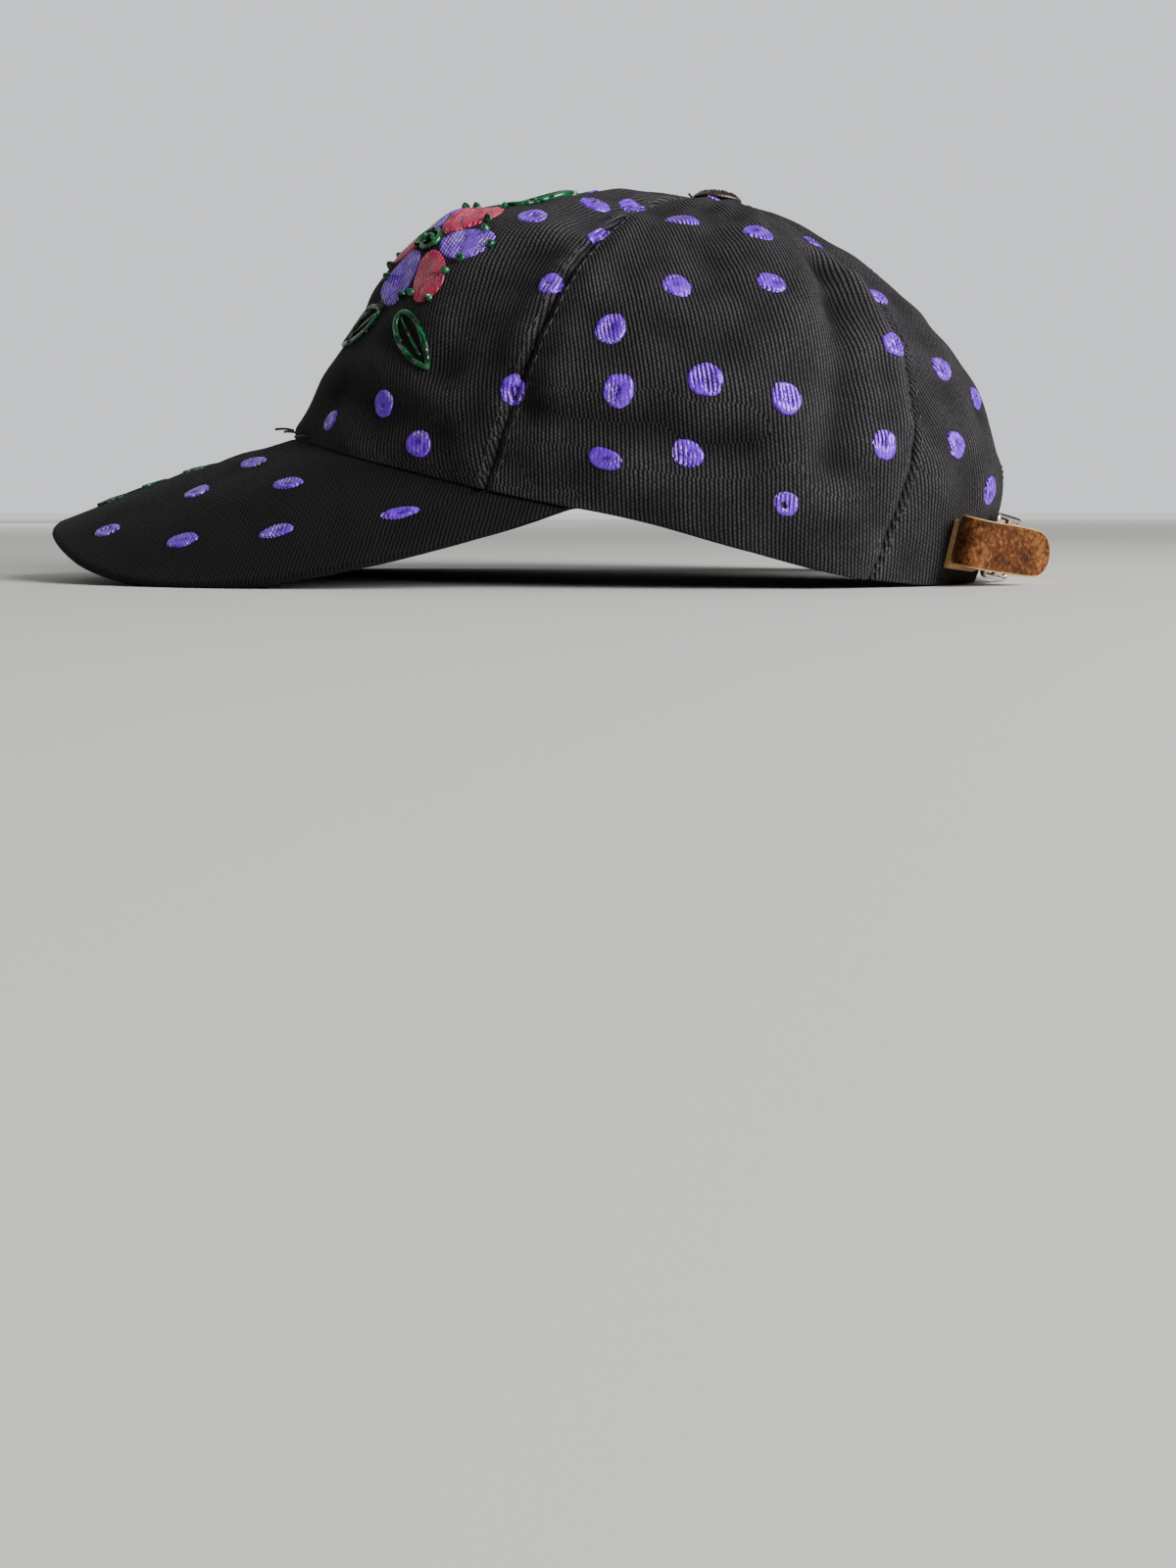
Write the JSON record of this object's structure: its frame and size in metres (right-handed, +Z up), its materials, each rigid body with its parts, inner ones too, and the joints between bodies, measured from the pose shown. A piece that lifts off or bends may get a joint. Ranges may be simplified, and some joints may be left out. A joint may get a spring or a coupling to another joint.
{
  "type": "baseball cap",
  "caption": "Soft six-panel cotton twill baseball cap with a curved peak, a covered button and a leather back strap with a wire buckle, resting on its peak and rim.",
  "frame": {"origin": "on the table, under the middle of the cap's bounding box, as the cap rests", "axes": "+Z up, -Y towards the front of the peak, +X towards the wearer's left"},
  "size_m": [0.1682, 0.2766, 0.109],
  "materials": {
    "twill": "faded black cotton twill with painted purple dots",
    "button_cover": "dark brown embossed leather",
    "strap_leather": "tan grain outside, brown suede inside",
    "buckle_wire": "nickel-plated bent wire"
  },
  "bodies": {
    "root": {"panel_front_left": "twill", "panel_front_right": "twill", "panel_side_left": "twill", "panel_side_right": "twill", "panel_back_left": "twill", "panel_back_right": "twill", "peak": "twill", "button": "button_cover", "strap": "strap_leather", "strap_stub": "strap_leather", "buckle": "buckle_wire"}
  },
  "joints": []
}
